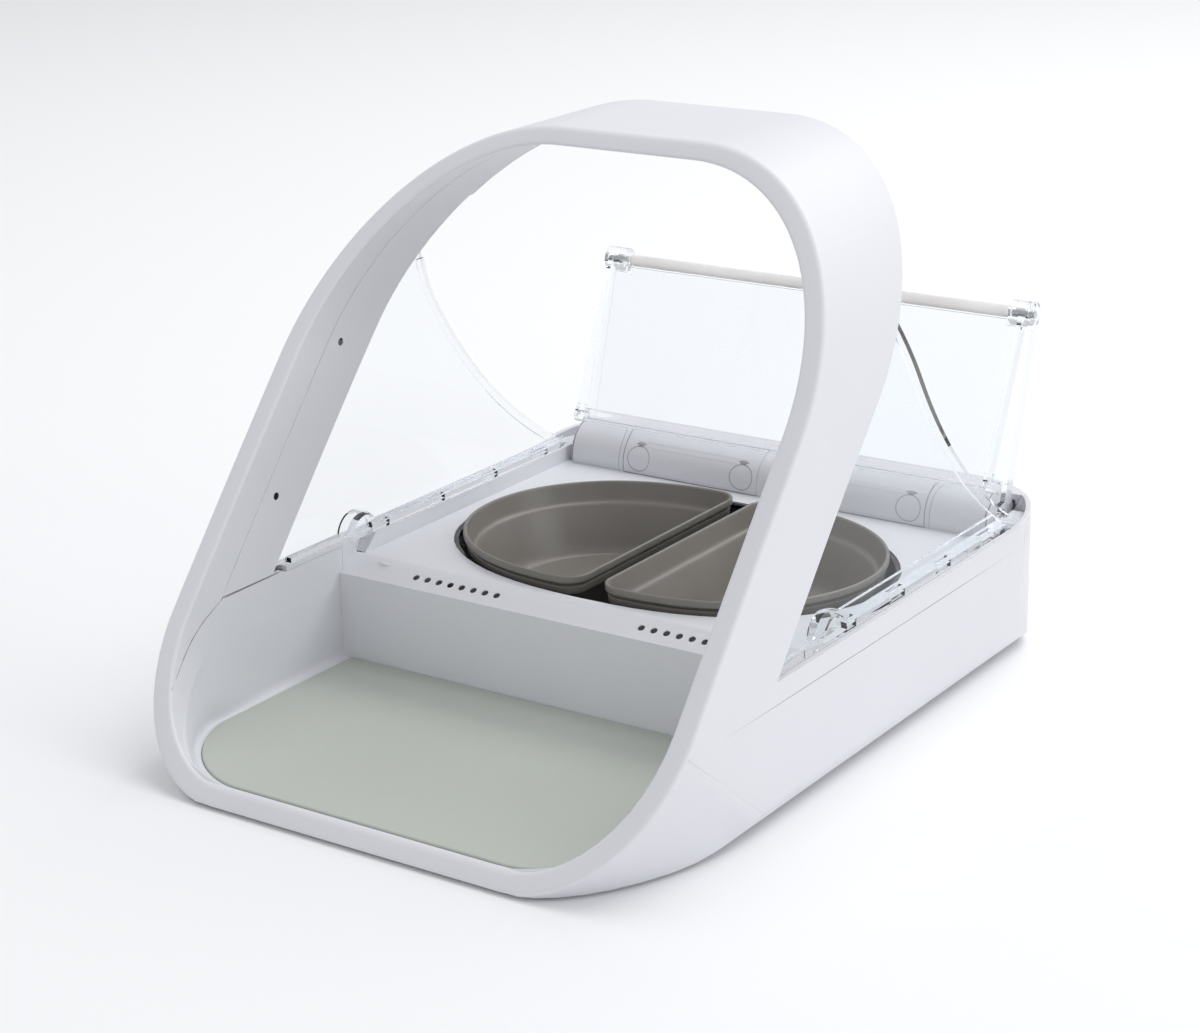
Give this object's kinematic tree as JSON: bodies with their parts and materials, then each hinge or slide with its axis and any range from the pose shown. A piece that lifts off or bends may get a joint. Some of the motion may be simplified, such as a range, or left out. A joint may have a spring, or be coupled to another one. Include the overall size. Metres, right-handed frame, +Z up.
{
  "type": "microchip pet feeder",
  "caption": "Pet feeder with a leaning entry arch, a mat, two D-shaped bowls in a well and a folding clear lid worked by a geared motor.",
  "frame": {"origin": "on the floor under the middle of the bounding box, feet at z = 0", "axes": "+X to the feeder's right side seen from the front, +Y from the arch to the rear wall, +Z up"},
  "size_m": [0.2256, 0.3162, 0.2136],
  "materials": {
    "white_shell": "satin cool white",
    "clear_panel": "polished clear",
    "soft_seal": "soft translucent",
    "bowl_grey": "satin warm grey",
    "black_plastic": "satin black",
    "mat_green": "soft matt grey-green",
    "dark_plastic": "matt dark grey",
    "cell_metal": "machined",
    "dark_lens": "gloss dark infrared",
    "copper_coil": "enamelled wire",
    "circuit_board": "coated board",
    "steel": "plain steel",
    "bracket_metal": "zinc plated",
    "contact_metal": "nickel plated",
    "black_rubber": "matt",
    "gear_plastic": "natural nylon",
    "pinion_brass": "turned",
    "button_grey": "satin light grey",
    "cell_case": "printed sleeve, plain"
  },
  "bodies": {
    "feeder": {"base_tub": "white_shell", "upper_housing": "white_shell", "arch_liner": "white_shell", "deck_panel": "white_shell", "bowl_well": "black_plastic", "barrel_shell": "white_shell", "barrel_cover_left": "white_shell", "barrel_cover_right": "white_shell", "cover_screw_caps": "white_shell", "side_shield_left": "clear_panel", "side_shield_right": "clear_panel", "scale_plate_left": "dark_plastic", "scale_plate_right": "dark_plastic", "load_cell_left": "cell_metal", "load_cell_right": "cell_metal", "light_guides": "dark_lens", "beam_sensors": "dark_lens", "antenna_coil": "copper_coil", "main_board": "circuit_board", "drive_motor": "steel", "gear_bracket": "bracket_metal", "idler_axle": "steel", "shaft_bushes": "black_plastic", "battery_contacts": "contact_metal", "button_board": "circuit_board", "case_screws": "steel", "rubber_feet": "black_rubber", "battery_cells_left": "cell_case", "battery_cells_right": "cell_case"},
    "lid_rear": {"lid_rear_leaf": "clear_panel", "lid_shaft": "steel", "lid_gear": "gear_plastic", "fold_pins": "steel", "fold_seal": "soft_seal"},
    "lid_front": {"lid_front_leaf": "clear_panel", "lip_seal": "soft_seal"},
    "idler": {"idler_gear": "gear_plastic"},
    "pinion": {"motor_pinion": "pinion_brass"},
    "button_l": {"button_left": "button_grey"},
    "button_m": {"button_middle": "button_grey"},
    "button_r": {"button_right": "button_grey"},
    "bowl_l": {"bowl_left": "bowl_grey"},
    "bowl_r": {"bowl_right": "bowl_grey"},
    "mat": {"floor_mat": "mat_green"},
    "door_l": {"battery_door_left": "white_shell"},
    "door_r": {"battery_door_right": "white_shell"}
  },
  "joints": [
    {"name": "lid_hinge", "type": "hinge", "parent": "feeder", "child": "lid_rear", "pos_m": [0, 0.1294, 0.05], "axis": [-1, 0, 0], "range_deg": [-99, 0]},
    {"name": "lid_fold", "type": "hinge", "parent": "lid_rear", "child": "lid_front", "pos_m": [0, 0.1529, 0.12856], "axis": [-1, 0, 0], "range_deg": [0, 155.93]},
    {"name": "idler_spin", "type": "hinge", "parent": "feeder", "child": "idler", "pos_m": [0, 0.1294, 0.0324], "axis": [-1, 0, 0], "range_deg": [0, 118.8]},
    {"name": "pinion_spin", "type": "hinge", "parent": "feeder", "child": "pinion", "pos_m": [0, 0.11728, 0.02391], "axis": [-1, 0, 0], "range_deg": [-139.77, 0]},
    {"name": "press_l", "type": "slide", "parent": "feeder", "child": "button_l", "axis": [0, -1, 0], "range_m": [0, 0.0012], "stiffness_N_per_m": 300, "springref_m": -0.0005},
    {"name": "press_m", "type": "slide", "parent": "feeder", "child": "button_m", "axis": [0, -1, 0], "range_m": [0, 0.0012], "stiffness_N_per_m": 300, "springref_m": -0.0005},
    {"name": "press_r", "type": "slide", "parent": "feeder", "child": "button_r", "axis": [0, -1, 0], "range_m": [0, 0.0012], "stiffness_N_per_m": 300, "springref_m": -0.0005},
    {"name": "lift_bowl_l", "type": "slide", "parent": "feeder", "child": "bowl_l", "axis": [0, 0, 1], "range_m": [0, 0.06]},
    {"name": "lift_bowl_r", "type": "slide", "parent": "feeder", "child": "bowl_r", "axis": [0, 0, 1], "range_m": [0, 0.06]},
    {"name": "lift_mat", "type": "slide", "parent": "feeder", "child": "mat", "axis": [0, 0, 1], "range_m": [0, 0.05]},
    {"name": "drop_door_l", "type": "slide", "parent": "feeder", "child": "door_l", "axis": [0, 0, -1], "range_m": [0, 0.03]},
    {"name": "drop_door_r", "type": "slide", "parent": "feeder", "child": "door_r", "axis": [0, 0, -1], "range_m": [0, 0.03]}
  ],
  "couplings": [
    {"joint": "lid_fold", "follows": "lid_hinge", "ratio": -1.575},
    {"joint": "idler_spin", "follows": "lid_hinge", "ratio": -1.2},
    {"joint": "pinion_spin", "follows": "lid_hinge", "ratio": 1.4118}
  ]
}
